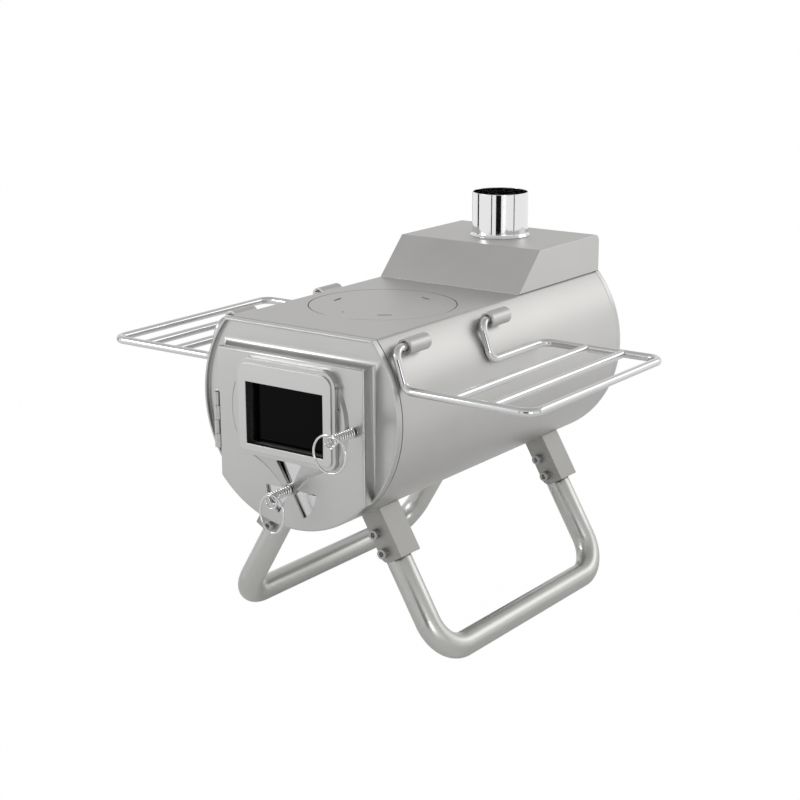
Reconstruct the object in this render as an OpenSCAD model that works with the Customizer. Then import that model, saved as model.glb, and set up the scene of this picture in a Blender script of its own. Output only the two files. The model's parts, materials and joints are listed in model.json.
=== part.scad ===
// Tent wood stove: a round barrel lying on two bent tube legs, with a flat cooking face and round lid,
// a smoke box with a flue collar at the rear, a glazed door with an air damper, and two wire side racks.
// Seen from the front, +X is to the right, +Y runs to the rear and +Z is up.
// The origin is on the ground, under the middle of the whole stove.
// Inside the modules, y = 0 is the barrel's front rim and z = 0 is the barrel's axis.

/* [Barrel] */
// Outside diameter of the round barrel
barrel_d = 232; // [228:1:238]
// Length of the barrel from front rim to rear rim
barrel_len = 414; // [405:1:440]
// How far the flat cooking face lies below the top of the full circle
flat_drop = 39.3; // [37:0.1:42]
// Thickness of the rolled barrel sheet
sheet_t = 1.5; // [1:0.1:2]
// Depth of each end plate behind its rim
cap_recess = 4; // [3:0.5:5]
// Thickness of the end plates
cap_t = 1.5; // [1:0.1:2]
// Thickness of the rim round each end plate
rim_t = 2.4; // [2:0.1:3]
// Length of the rim that shows ahead of the seam
rim_len = 8; // [7:0.5:10]
// Length of the lip that the barrel sheet slides over
lip_len = 8; // [5:0.5:12]
// Width of the seam between rim and barrel sheet
seam_w = 0.6; // [0.4:0.1:1]

/* [Smoke box and flue] */
// Distance from the front rim to the foot of the smoke box
box_foot_y = 250; // [246:1:256]
// Height of the smoke box above the cooking face
box_h = 40; // [36:1:44]
// How far the sloping front leans back over its height
box_lean = 39.6; // [34:0.2:44]
// Thickness of the smoke box sheet
box_t = 1.5; // [1:0.1:2]
// Radius of the rear top edge
box_edge_r = 8; // [4:1:10]
// Distance from the rear rim forward to the smoke box
box_setback = 1; // [0.5:0.5:3]
// Outside diameter of the flue collar
flue_d = 60; // [56:1:62]
// Thickness of the flue collar
flue_t = 1; // [0.8:0.1:1.5]
// Height of the flue collar above the smoke box
flue_h = 46.6; // [40:0.2:52]
// Distance from the rear rim to the flue's axis
flue_from_rear = 64; // [60:1:68]
// How far the foot of the collar flares out
flue_flare = 2.4; // [1.5:0.1:3]

/* [Cooking lid] */
// Distance from the lid's hole out to the side of the cooking face
lid_margin = 13; // [12:0.5:16]
// Thickness of the lid
lid_t = 3; // [2.5:0.1:4]
// Gap between the lid and its hole
lid_gap = 1; // [0.6:0.1:1.5]
// Distance from the front rim to the lid's centre
lid_y = 136; // [132:1:142]
// Width of the ledge that carries the lid
lid_ledge = 7; // [5:0.5:9]
// Length of each lifting slot in the lid
lid_slot_len = 14; // [10:1:18]
// Width of each lifting slot
lid_slot_w = 3; // [2:0.5:4]
// Distance from the lid's edge in to its slots
lid_slot_in = 22; // [19:1:27]

/* [Door housing] */
// Distance from the barrel's side in to the side of the housing and door
housing_margin = 29.3; // [28:0.1:31]
// Distance from the cooking face down to the top of the housing and door
housing_drop = 25; // [22:0.1:28]
// How far the housing stands out ahead of the rim
housing_reach = 9; // [7:0.5:11]
// Thickness of the housing sheet
housing_t = 1.5; // [1.2:0.1:2]
// Width of the flange that the door closes on
flange_w = 7; // [6.6:0.1:7.4]

/* [Door] */
// Gap between the closed door and the flange
door_gap = 0.6; // [0.4:0.1:1]
// Thickness of the door plate
door_t = 2.4; // [2:0.1:3]
// Distance from the door's side in to the window opening
window_margin = 40.7; // [39:0.1:43]
// Distance from the door's top down to the window opening
window_drop = 27.4; // [26:0.1:29]
// Distance from the damper's centre up to the window opening
window_foot = 39.8; // [38.5:0.1:41]
// Thickness of the window glass
glass_t = 4; // [3:0.5:4.5]
// How far the glass laps past its opening
glass_lap = 3.5; // [3:0.5:4]
// Width of the frame beside the window
frame_side = 9.4; // [9:0.2:11]
// Width of the frame above the window
frame_head = 18.2; // [16:0.2:19]
// Width of the frame below the window
frame_foot = 7.1; // [6.5:0.1:7.5]
// How far the frame stands out from the door
frame_reach = 8.3; // [7.5:0.1:9]
// Thickness of the frame sheet
frame_t = 1.5; // [1.2:0.1:1.8]
// How far the channel behind the frame steps out all round
channel_step = 4; // [3:0.2:4.4]
// Size of the frame's top corners
frame_head_r = 11; // [8:0.5:13]
// Size of the frame's bottom corners
frame_foot_r = 6; // [4.5:0.5:8]

/* [Air hood] */
// Distance from the door's side in to the widest place of the raised hood
hood_margin = 16.4; // [15.8:0.2:18]
// Height of the hood's centre above the window's centre
hood_lift = 1; // [0:0.5:2]
// How far the hood stands out from the door
hood_reach = 2.4; // [2:0.2:3.2]
// How far the hood's flank leans in over its height
hood_flank = 3.2; // [2.4:0.2:4.4]
// Thickness of the hood sheet
hood_t = 1.2; // [1:0.1:1.5]

/* [Damper] */
// Distance from the barrel's bottom up to the damper's centre
damper_up = 40; // [39:0.5:41]
// Outside radius of the damper's openings
vent_r = 30; // [28:0.5:30.5]
// Radius of the solid middle between the openings
vent_hub_r = 6; // [5.5:0.5:7]
// Angle that each opening spans
vent_angle = 60; // [58:1:62]
// Angle that each petal of the rotor spans
petal_angle = 53; // [48:1:56]
// How far the rotor stands turned clockwise
rotor_turn = 1.5; // [0:0.5:4]
// Thickness of the rotor
rotor_t = 1.5; // [1:0.1:2]
// Running gap between the rotor and the door
rotor_gap = 0.5; // [0.3:0.1:0.8]

/* [Spring handles] */
// Diameter of the spring wire
wire_d = 2.2; // [2:0.1:2.4]
// Mean radius of the close coil
coil_r = 3.7; // [3.6:0.1:4]
// Step from one turn to the next
coil_pitch = 3.3; // [3.1:0.05:3.5]
// Close turns in the door handle's coil
latch_coil_turns = 7; // [6:1:8]
// Close turns in the damper handle's coil
damper_coil_turns = 5; // [4:1:6]
// Turns at the end of each coil that grow wider
spread_turns = 3; // [2:1:3]
// Diameter of the spindles that the coils wind round
spindle_d = 4; // [3.6:0.1:4.4]
// Distance from the door's side in to the latch
latch_in = 10.9; // [10.8:0.1:11.1]
// Height of the latch above the barrel's axis
latch_z = -7.3; // [-10:0.1:-5]
// Height of the last turn before the door handle's ring
latch_last_h = 14; // [11:0.5:18]
// Height of the last turn before the damper handle's ring
damper_last_h = 19; // [12:0.5:22]
// Width of the door handle's ring
latch_ring_w = 37; // [34:1:40]
// Height of the door handle's ring
latch_ring_h = 38; // [34:1:40]
// Width of the damper handle's ring
damper_ring_w = 29; // [26:1:34]
// Height of the damper handle's ring
damper_ring_h = 39; // [36:1:42]
// How far the door handle's ring is set to the right of its coil
latch_ring_out = 1.5; // [0:0.5:3]
// How far the door handle's ring is set above its coil's top line
latch_ring_up = 3; // [0:0.5:4]
// How far the damper handle's ring is set to the right of its coil
damper_ring_out = 3; // [0:0.5:4]
// How far the damper handle's ring is set below its coil's top line
damper_ring_down = 0.5; // [0:0.5:3]

/* [Hinge] */
// Outside diameter of the hinge knuckles
knuckle_d = 6; // [5.5:0.1:6.5]
// Diameter of the hinge pin
pin_d = 3; // [2.6:0.1:3.4]
// Radial running clearance round the hinge pin
pin_clearance = 0.05; // [0.03:0.01:0.08]
// Length of each of the four knuckles
knuckle_len = 14; // [12:0.5:15]
// Height of the hinge's top above the barrel's axis
hinge_top = 6; // [4:0.5:8]

/* [Legs] */
// Height of the barrel's axis over the ground
axis_h = 250; // [244:1:258]
// Outside diameter of the leg tube
leg_d = 25; // [24:0.5:26]
// Wall of the leg tube
leg_wall = 1.5; // [1:0.1:2]
// Distance from the middle to each ground bar
leg_bar_x = 127.5; // [122:0.5:132]
// Distance from the front rim to the front arms
leg_front_y = 57; // [54:1:62]
// Distance from the rear rim to the rear arms
leg_from_rear = 59.5; // [56:0.5:64]
// Bend radius of the leg corners
leg_bend_r = 36; // [30:1:40]
// Distance from the barrel's outside to the upper leg bolts
bolt_drop = 21.3; // [20.8:0.1:22]
// Angle of the upper leg bolts from straight down
bolt_angle = 26.1; // [25.6:0.1:27]
// Distance between the two bolts of a bracket
bolt_pitch = 20; // [18:0.5:21]
// Diameter of the leg bolts
bolt_d = 6; // [5:0.5:6]
// Width of the brackets from flange to flange
bracket_w = 31; // [30:0.5:34]
// Thickness of the bracket sheet
bracket_t = 2; // [1.5:0.1:2.2]
// How far the flanges reach past the lower bolt
bracket_tail = 10.5; // [9:0.5:12]
// How far the flanges reach inward of the bolts
bracket_in = 7.5; // [7:0.5:9]

/* [Side racks] */
// Diameter of the rack wire
rack_d = 8; // [7:0.5:8]
// Radial running clearance of the wire in its sleeves
rack_clearance = 0.06; // [0.03:0.01:0.09]
// Outside diameter of the sleeves
sleeve_d = 16; // [15:0.5:18]
// Length of each sleeve
sleeve_len = 32.5; // [28:0.5:36]
// Angle of the sleeves above the horizontal
sleeve_angle = 33.3; // [31:0.1:35]
// Distance from the front rim to the front sleeves
sleeve_front_y = 28; // [26:1:32]
// Distance from the front sleeves to the rear sleeves
sleeve_spacing = 137; // [130:1:142]
// Distance from the front rim to the rack's front arm
rack_front_y = 13; // [10:1:15]
// Length of the rack between its front and rear arms
rack_len = 239; // [225:1:240]
// Width of the rack from its inner bar to its outer bar
rack_w = 133; // [120:1:140]
// Height of the rack above the barrel's axis
rack_z = 32; // [30:0.5:34]

/* [Fire grate] */
// Height of the grate above the barrel's bottom
grate_up = 36; // [32:1:40]
// Distance from the grate's side out to the barrel's inside
grate_margin = 16.5; // [14:0.5:20]
// Length of the grate
grate_len = 300; // [270:5:320]
// Thickness of the grate
grate_t = 3; // [2:0.5:4]
// Width of the slots in the grate
grate_slot_w = 6; // [4:0.5:8]

/* [Hidden] */
$fn = 96;

// Small spaces and overlaps
fit_gap = 0.2;
seat_gap = 0.3;
weld_gap = 0.1;
bore_gap = 0.05;
slack = 1;
far = 300;
bend_tuck = 0.2;
bend_swell = 0.02;

// Barrel
barrel_r = barrel_d / 2;
flat_z = barrel_r - flat_drop;
flat_w = 2 * sqrt(barrel_r * barrel_r - flat_z * flat_z);
cap_depth = rim_len + lip_len;

// Smoke box and flue
box_top = flat_z + box_h;
box_rear = barrel_len - box_setback;
flue_y = barrel_len - flue_from_rear;
flue_r = flue_d / 2;
flue_top = box_top + flue_h;
flue_tuck = 6;
flare_h = 4;
passage_edge_side = 12;
passage_edge_front = 8;
passage_edge_rear = 6;
passage_w = flat_w - 2 * passage_edge_side;
passage_front = box_foot_y + box_lean + passage_edge_front;
passage_rear = barrel_len - cap_depth - passage_edge_rear;

// Cooking lid
lid_hole_r = flat_w / 2 - lid_margin;
lid_r = lid_hole_r - lid_gap;
lid_slot_r = lid_r - lid_slot_in;
ledge_r = lid_hole_r - lid_ledge;
seat_wall = 5;
ledge_t = 1.5;
lid_skirt_h = 6;
lid_skirt_t = 1.5;
lid_skirt_gap = 2;
slot_angles = [188, 69, -51.5];
lid_hole_small_r = 1.5;
lid_hole_small_in = 21;
lid_hole_small_x = -10;

// Door housing and door, counted in y
housing_w = barrel_d - 2 * housing_margin;
housing_top = flat_z - housing_drop;
flange_front = -housing_reach;
flange_back = flange_front + housing_t;
door_back = flange_front - door_gap;
door_face = door_back - door_t;

// Window, counted in z
damper_z = damper_up - barrel_r;
window_w = housing_w - 2 * window_margin;
window_top = housing_top - window_drop;
window_bottom = damper_z + window_foot;
window_z = (window_top + window_bottom) / 2;
frame_half = window_w / 2 + frame_side;
frame_top = window_top + frame_head;
frame_bottom = window_bottom - frame_foot;
frame_face = door_face - frame_reach;
channel_t = 1.2;
channel_front = frame_face + frame_t;
channel_lap = 2.9;
gasket_open = 0.8;
glass_back = door_back + glass_t;
clip_t = 1.2;
clip_w = 12;
clip_lap = 3;
clip_foot_w = 8;
clip_from_corner = 12;
screw_head_r = 1.4;
screw_head_t = 1.2;
screw_y = door_face - hood_reach - screw_head_r - seat_gap;
screw_heights = [frame_top - 10.5, window_z + 17];

// Air hood: the disc is drawn in at the bottom by two scallops into a neck over the damper
hood_d = housing_w - 2 * hood_margin;
hood_z = window_z + hood_lift;
hood_top = frame_top + channel_step + 0.6;
neck_half_w = 9.1;
scallop_down = 51.3;
scallop_x = hood_d / 2 + 2.1;
scallop_z = damper_z - scallop_down;
scallop_r = norm([scallop_x - neck_half_w, scallop_down]);
neck_top_z = frame_bottom - channel_step - 1;
neck_end_h = 0.8;
neck_foot = 4;

// Spindles and rotor
latch_x = housing_w / 2 - latch_in;
collar_r = 5.2;
collar_t = 1.5;
spindle_r = spindle_d / 2;
spindle_hole_r = spindle_r + 0.08;
spindle_reach = 14;
rotor_front = door_back + rotor_gap;
rotor_back = rotor_front + rotor_t;
nut_af = 7;
nut_t = 3;
tongue_w = 6.6;
tongue_len = 8.3;
tongue_t = 2;
tongue_front = flange_back + 0.5;
tongue_end = tongue_front + tongue_t;
tongue_cap_t = 1.5;

// Spring handles
wire_r = wire_d / 2;
spring_sides = 6;
curl_rings = 8;
loop_rings = 32;
loop_pitch = 3.2;
loop_ramp = 0.12;
spread_power = 1.2;
coil_root = door_face - collar_t;
coil_start = coil_root - wire_d;
most_turns = max(latch_coil_turns, damper_coil_turns) + spread_turns;
handle_reach = coil_pitch * most_turns + loop_pitch + wire_r - coil_start;

// Hinge
hinge_x = -(housing_w / 2 + knuckle_d / 2 + 0.8);
hinge_y = (door_back + door_face) / 2;
knuckle_gap = 0.3;
knuckles = 4;
leaf_t = 1.5;

// Legs
leg_r = leg_d / 2;
leg_bar_z = leg_r - axis_h;
bolt_x = (barrel_r + bolt_drop) * sin(bolt_angle);
bolt_z = -(barrel_r + bolt_drop) * cos(bolt_angle);
leg_angle = atan((leg_bar_x - bolt_x) / (bolt_z - leg_bar_z));
leg_rear_y = barrel_len - leg_from_rear;
leg_stub = 7.5;
bolt_r = bolt_d / 2;
bolt_hole_r = bolt_r + fit_gap;
bolt_head_r = 5;
bolt_key = 5;
leg_nut_af = 10;
leg_nut_t = 5;
web_in = leg_r + 2;
web_out = web_in + bracket_t;
bracket_corner_r = 8;
bracket_root = 50;

// Side racks
rack_r = rack_d / 2;
sleeve_standoff = 0.3;
sleeve_radius = barrel_r + sleeve_d / 2 + sleeve_standoff;
sleeve_x = sleeve_radius * cos(sleeve_angle);
sleeve_z = sleeve_radius * sin(sleeve_angle);
sleeve_rear_y = sleeve_front_y + sleeve_spacing;
sleeve_mouth_r = rack_r + 1.5;
sleeve_mouth_len = 6;
saddle_w = sleeve_d - 5;
saddle_sink = 4;
prong_past = 3;
rack_in_x = sqrt(pow(barrel_r + rack_r + seat_gap, 2) - rack_z * rack_z);
rack_out_x = rack_in_x + rack_w;
rack_rear_y = rack_front_y + rack_len;
rack_hook_r = 9;
rack_hook_y = sleeve_rear_y - rack_hook_r - slack;
rack_corner_r = 13;
rail_places = [0.373, 0.68];

// Fire grate
inside_r = barrel_r - sheet_t - seat_gap;
grate_z = grate_up - barrel_r;
grate_w = 2 * (sqrt(inside_r * inside_r - grate_z * grate_z) - grate_margin);
grate_foot_x = grate_w / 2 - 5;
grate_front_y = cap_depth + 10;
grate_slots = 9;
grate_rows = 5;
grate_bar = 10;
grate_row_step = (grate_w - grate_bar) / (grate_rows + 1);

// Whole stove: the middle of its length, from the handles' front to the rear rim
mid_y = (barrel_len - handle_reach) / 2;

steel = "#b9b8b3";
bright = "#d8d8d8";
dark = "#3c3c3a";

// Puts a piece drawn about the barrel into the stove's own frame
module place() {
    translate([0, -mid_y, axis_h]) children();
}

// Turns an outline seen from the front into a solid from y0 back to y1
module front_view(y0, y1) {
    translate([0, y1, 0]) rotate([90, 0, 0]) linear_extrude(y1 - y0) children();
}

// Turns an outline seen from the right, drawn as y and z, into a solid from x0 to x1
module side_view(x0, x1) {
    translate([x0, 0, 0]) rotate([90, 0, 90]) linear_extrude(x1 - x0) children();
}

// Turns a piece's copy on the left side of the stove
module on_left() {
    mirror([1, 0, 0]) children();
}

// Round bar along Y, seen from the front at x and z
module bar_y(x, z, y0, y1, r) {
    translate([x, y0, z]) rotate([-90, 0, 0]) cylinder(h = y1 - y0, r = r);
}

// Round bar along X
module bar_x(x0, x1, y, z, r) {
    translate([x0, y, z]) rotate([0, 90, 0]) cylinder(h = x1 - x0, r = r);
}

// Points of a quarter circle, counted anticlockwise from the start angle
function quarter(cx, cz, r, start, steps) =
    [for (i = [0:steps]) [cx + r * cos(start + 90 * i / steps), cz + r * sin(start + 90 * i / steps)]];

function unit(v) = v / norm(v);

// Straight piece of a bent bar between two points
module straight(a, b, r) {
    v = b - a;
    turn = atan2(v.y, v.x);
    lean = acos(v.z / norm(v));
    translate(a) rotate([0, lean, turn]) cylinder(h = norm(v), r = r);
}

// Bend of a bent bar at point p, from direction d1 into direction d2
module bend(p, d1, d2, bend_r, r) {
    turn = acos(d1 * d2);
    side = unit(d2 - d1 * (d1 * d2));
    centre = p - d1 * bend_r * tan(turn / 2) + side * bend_r;
    up = cross(-side, d1);
    multmatrix([
        [-side.x, d1.x, up.x, centre.x],
        [-side.y, d1.y, up.y, centre.y],
        [-side.z, d1.z, up.z, centre.z],
        [0, 0, 0, 1]])
        rotate_extrude(angle = turn) translate([bend_r, 0]) circle(r);
}

// Bar of radius r along the points, with a round bend at each inner point. The straights reach a little
// into the bends, which are a hair thicker, so that no two surfaces lie exactly on each other
module bent_bar(points, bends, r) {
    last = len(points) - 1;
    dirs = [for (i = [0:last - 1]) unit(points[i + 1] - points[i])];
    cuts = [for (i = [0:last]) i == 0 || i == last ? 0 : bends[i - 1] * tan(acos(dirs[i - 1] * dirs[i]) / 2)];
    tucks = [for (i = [0:last]) i == 0 || i == last ? 0 : bend_tuck];
    for (i = [0:last - 1])
        straight(points[i] + dirs[i] * (cuts[i] - tucks[i]),
            points[i + 1] - dirs[i] * (cuts[i + 1] - tucks[i + 1]), r);
    for (i = [1:last - 1])
        bend(points[i], dirs[i - 1], dirs[i], bends[i - 1], r + bend_swell);
}

// Barrel outline from the front: a circle with a flat top, drawn in by inset
module barrel_outline(inset) {
    r = barrel_r - inset;
    intersection() {
        circle(r, $fn = 180);
        translate([-barrel_r - slack, -barrel_r - slack])
            square([barrel_d + 2 * slack, barrel_r + slack + flat_z - inset]);
    }
}

module barrel_shell() {
    start = rim_len + seam_w;
    place() color(steel) difference() {
        front_view(start, barrel_len - start) difference() {
            barrel_outline(0);
            barrel_outline(sheet_t);
        }
        translate([0, lid_y, flat_z - sheet_t - slack]) cylinder(h = sheet_t + 2 * slack, r = lid_hole_r);
        translate([-passage_w / 2, passage_front, flat_z - sheet_t - slack])
            cube([passage_w, passage_rear - passage_front, sheet_t + 2 * slack]);
    }
}

// End plate in its rim, drawn as the front one
module end_cap() {
    lip_inset = sheet_t + fit_gap;
    difference() {
        union() {
            front_view(0, rim_len) barrel_outline(0);
            front_view(rim_len, cap_depth) barrel_outline(lip_inset);
        }
        front_view(-slack, cap_recess) barrel_outline(rim_t);
        front_view(cap_recess + cap_t, cap_depth + slack) barrel_outline(lip_inset + cap_t);
    }
}

module front_cap() {
    place() color(bright) difference() {
        end_cap();
        front_view(0, cap_depth) housing_outline(flange_w);
    }
}

module rear_cap() {
    place() color(bright) translate([0, barrel_len, 0]) mirror([0, 1, 0]) end_cap();
}

module lid_seat() {
    seat_r = lid_hole_r + seat_wall;
    depth = lid_t + seat_gap + ledge_t;
    place() color(steel) translate([0, lid_y, flat_z - depth]) difference() {
        cylinder(h = depth - sheet_t, r = seat_r);
        translate([0, 0, -slack]) cylinder(h = depth, r = ledge_r);
        translate([0, 0, ledge_t]) cylinder(h = depth, r = lid_hole_r);
    }
}

module cooking_lid() {
    place() color(steel) translate([0, lid_y, flat_z - lid_t]) difference() {
        cylinder(h = lid_t, r = lid_r);
        for (a = slot_angles)
            rotate([0, 0, a]) translate([lid_slot_r - lid_slot_w / 2, -lid_slot_len / 2, -slack])
                cube([lid_slot_w, lid_slot_len, lid_t + 2 * slack]);
        translate([lid_hole_small_x, lid_hole_small_in - lid_r, -slack])
            cylinder(h = lid_t + 2 * slack, r = lid_hole_small_r);
    }
}

module lid_skirt() {
    skirt_r = ledge_r - lid_skirt_gap;
    place() color(steel) translate([0, lid_y, flat_z - lid_t - lid_skirt_h]) difference() {
        cylinder(h = lid_skirt_h, r = skirt_r);
        translate([0, 0, -slack]) cylinder(h = lid_skirt_h + 2 * slack, r = skirt_r - lid_skirt_t);
    }
}

module smoke_box() {
    front_top = box_foot_y + box_lean;
    edge_y = box_rear - box_edge_r;
    outer = concat([[box_rear, flat_z]], quarter(edge_y, box_top - box_edge_r, box_edge_r, 0, 10),
        [[front_top, box_top], [box_foot_y, flat_z]]);
    lean_t = box_t * norm([box_h, box_lean]) / box_h;
    inner_front_top = box_foot_y + lean_t + box_lean * (box_h - box_t) / box_h;
    inner = [[box_rear - box_t, flat_z - slack], [box_rear - box_t, box_top - box_edge_r],
        [edge_y, box_top - box_t], [inner_front_top, box_top - box_t],
        [box_foot_y + lean_t - slack * box_lean / box_h, flat_z - slack]];
    place() color(steel) difference() {
        side_view(-flat_w / 2, flat_w / 2) polygon(outer);
        side_view(-flat_w / 2 + box_t, flat_w / 2 - box_t) polygon(inner);
        translate([0, flue_y, box_top - 2 * box_t]) cylinder(h = 4 * box_t, r = flue_r + fit_gap);
    }
}

module flue_collar() {
    bottom = box_top - flue_tuck;
    foot = box_top + weld_gap;
    place() color(bright) translate([0, flue_y, 0]) difference() {
        union() {
            translate([0, 0, bottom]) cylinder(h = flue_top - bottom, r = flue_r);
            translate([0, 0, foot]) cylinder(h = flare_h, r1 = flue_r + flue_flare, r2 = flue_r);
        }
        translate([0, 0, bottom - slack]) cylinder(h = flue_top - bottom + 2 * slack, r = flue_r - flue_t);
    }
}

// Outline shared by the door and its housing: straight sides and top, and the barrel's own curve below
module housing_outline(inset) {
    intersection() {
        circle(barrel_r - inset, $fn = 180);
        translate([-housing_w / 2 + inset, -barrel_r - slack])
            square([housing_w - 2 * inset, barrel_r + slack + housing_top - inset]);
    }
}

// Wall of the housing seen from the front
module housing_wall() {
    difference() {
        housing_outline(0);
        housing_outline(housing_t);
    }
}

module door_housing() {
    place() color(steel) {
        front_view(flange_back, 0) housing_wall();
        front_view(0, cap_recess) intersection() {
            housing_wall();
            barrel_outline(rim_t + fit_gap);
        }
    }
}

// Flange across the front of the housing wall, which the door closes on
module housing_flange() {
    place() color(steel) front_view(flange_front, flange_back) difference() {
        housing_outline(0);
        housing_outline(flange_w);
    }
}

// Height of the bottom of one knuckle, counted from the top
function knuckle_z(i) = hinge_top - (i + 1) * knuckle_len;

module knuckle(i) {
    translate([hinge_x, hinge_y, knuckle_z(i) + knuckle_gap / 2])
        cylinder(h = knuckle_len - knuckle_gap, r = knuckle_d / 2);
}

module knuckle_bore() {
    translate([hinge_x, hinge_y, knuckle_z(knuckles - 1) - slack])
        cylinder(h = knuckles * knuckle_len + 2 * slack, r = pin_d / 2 + pin_clearance);
}

// Leaf of a knuckle as a block from x0 to x1 and y0 to y1
module leaf(i, x0, x1, y0, y1) {
    translate([x0, y0, knuckle_z(i) + knuckle_gap / 2])
        cube([x1 - x0, y1 - y0, knuckle_len - knuckle_gap]);
}

module hinge_knuckles_fixed() {
    wall_x = -housing_w / 2;
    place() color(steel) difference() {
        for (i = [0, 2]) {
            knuckle(i);
            leaf(i, wall_x - leaf_t, wall_x, flange_front, -slack);
            leaf(i, hinge_x, wall_x - leaf_t, flange_front, flange_front + leaf_t);
        }
        knuckle_bore();
    }
}

module hinge_knuckles_door() {
    wall_x = -housing_w / 2;
    place() color(steel) difference() {
        for (i = [1, 3]) {
            knuckle(i);
            leaf(i, hinge_x, wall_x, door_face, door_face + leaf_t);
        }
        knuckle_bore();
    }
}

module hinge_pin() {
    head_h = 1.2;
    place() color(bright) {
        translate([hinge_x, hinge_y, knuckle_z(knuckles - 1)])
            cylinder(h = knuckles * knuckle_len, r = pin_d / 2);
        translate([hinge_x, hinge_y, hinge_top]) cylinder(h = head_h, r = pin_d / 2 + 0.8);
    }
}

// Wedge of a disc, its middle pointing at degrees clockwise from straight up
module sector(at, spread, r_in, r_out) {
    edge = spread / 2;
    difference() {
        intersection() {
            circle(r_out);
            polygon([[0, 0], far * [sin(at - edge), cos(at - edge)], far * [sin(at), cos(at)],
                far * [sin(at + edge), cos(at + edge)]]);
        }
        circle(r_in);
    }
}

// The three openings of the damper
module vent_openings() {
    translate([0, damper_z]) for (at = [0, 120, 240])
        sector(at, vent_angle, vent_hub_r, vent_r);
}

module window_opening(grow) {
    translate([-window_w / 2 - grow, window_bottom - grow])
        square([window_w + 2 * grow, window_top - window_bottom + 2 * grow]);
}

module door_panel() {
    place() color(steel) difference() {
        front_view(door_face, door_back) housing_outline(0);
        front_view(door_face - slack, door_back + slack) {
            window_opening(0);
            vent_openings();
        }
        bar_y(0, damper_z, door_face - slack, door_back + slack, spindle_hole_r);
        bar_y(latch_x, latch_z, door_face - slack, door_back + slack, spindle_hole_r);
    }
}

// Hood's outer form, or its hollow when inset is the sheet's thickness
module hood_form(inset) {
    foot_r = hood_d / 2 - inset;
    side = [[door_face + slack, hood_top - inset], [door_face + slack, -barrel_r],
        [door_face - neck_end_h + inset, damper_z - neck_foot], [door_face - neck_end_h + inset, damper_z],
        [door_face - hood_reach + inset, neck_top_z], [door_face - hood_reach + inset, hood_top - inset]];
    intersection() {
        difference() {
            translate([0, door_face, hood_z]) rotate([90, 0, 0])
                cylinder(h = hood_reach, r1 = foot_r, r2 = foot_r - hood_flank);
            for (x = [-scallop_x, scallop_x])
                translate([x, door_face, scallop_z]) rotate([90, 0, 0])
                    cylinder(h = hood_reach + slack, r1 = scallop_r + inset,
                        r2 = scallop_r + inset + hood_flank * (hood_reach + slack) / hood_reach);
        }
        side_view(-far, far) polygon(side);
    }
}

module air_hood() {
    place() color(dark) difference() {
        hood_form(0);
        hood_form(hood_t);
        front_view(door_face - far, door_face + slack) {
            frame_outline(-channel_step - fit_gap);
            vent_openings();
            translate([0, damper_z]) circle(collar_r + 1);
        }
    }
}

// Outline of the window frame, drawn in by inset
module frame_outline(inset) {
    half = frame_half - inset;
    top = frame_top - inset;
    bottom = frame_bottom + inset;
    head_r = frame_head_r - inset;
    foot_r = frame_foot_r - inset;
    polygon(concat(quarter(half - head_r, top - head_r, head_r, 0, 4),
        quarter(head_r - half, top - head_r, head_r, 90, 4),
        quarter(foot_r - half, bottom + foot_r, foot_r, 180, 6),
        quarter(half - foot_r, bottom + foot_r, foot_r, 270, 6)));
}

// Channel under the frame: a ring that steps out beside it, and a wall from the ring back to the door
module window_channel() {
    place() color(steel) difference() {
        front_view(channel_front, door_face) frame_outline(-channel_step);
        front_view(channel_front + channel_t, door_face + slack) frame_outline(channel_t - channel_step);
        front_view(channel_front - slack, door_face) frame_outline(channel_lap);
    }
}

module window_frame() {
    place() color(bright) front_view(frame_face, channel_front) difference() {
        frame_outline(0);
        window_opening(0);
    }
}

module window_gasket() {
    place() color(dark) front_view(channel_front, door_face) difference() {
        frame_outline(channel_lap + fit_gap);
        window_opening(gasket_open);
    }
}

module window_glass() {
    place() color("#1a1a1a") front_view(door_back, glass_back) window_opening(glass_lap);
}

// One clip: a foot on the door beside the glass, and a tab over the glass
module glass_clip() {
    edge = window_w / 2 + glass_lap + fit_gap;
    translate([edge, door_back, -clip_w / 2]) cube([clip_foot_w, glass_t, clip_w]);
    translate([edge - clip_lap, glass_back, -clip_w / 2]) cube([clip_foot_w + clip_lap, clip_t, clip_w]);
}

module glass_clips() {
    heights = [window_bottom + clip_from_corner, window_top - clip_from_corner];
    place() color(steel) for (side = [0, 1], z = heights)
        translate([0, 0, z]) mirror([side, 0, 0]) glass_clip();
}

module frame_screws() {
    wall_x = frame_half + channel_step;
    place() color(bright) for (side = [0, 1], z = screw_heights)
        mirror([side, 0, 0]) bar_x(wall_x, wall_x + screw_head_t, screw_y, z, screw_head_r);
}

// Spindle with a collar on the door's face, a core for the coil and a shaft through the door
module spindle(x, z, y_end) {
    bar_y(x, z, door_face - spindle_reach, y_end, spindle_r);
    bar_y(x, z, coil_root, door_face, collar_r);
}

module latch_spindle() {
    place() color(bright) {
        spindle(latch_x, latch_z, tongue_end);
        bar_y(latch_x, latch_z, tongue_end, tongue_end + tongue_cap_t, tongue_w / 2);
    }
}

module latch_tongue() {
    place() color(steel) difference() {
        translate([latch_x - tongue_w / 2, tongue_front, latch_z - tongue_w / 2])
            cube([tongue_w, tongue_t, tongue_len + tongue_w / 2]);
        bar_y(latch_x, latch_z, tongue_front - slack, tongue_end + slack, spindle_r + bore_gap);
    }
}

module damper_rotor() {
    place() color(bright) difference() {
        front_view(rotor_front, rotor_back) translate([0, damper_z]) {
            circle(vent_hub_r + 2);
            for (at = [0, 120, 240]) sector(at + rotor_turn, petal_angle, 0, vent_r + 1.5);
        }
        bar_y(0, damper_z, rotor_front - slack, rotor_back + slack, spindle_r + bore_gap);
    }
}

module damper_spindle() {
    place() color(bright) spindle(0, damper_z, rotor_back + nut_t + 1);
}

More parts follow.
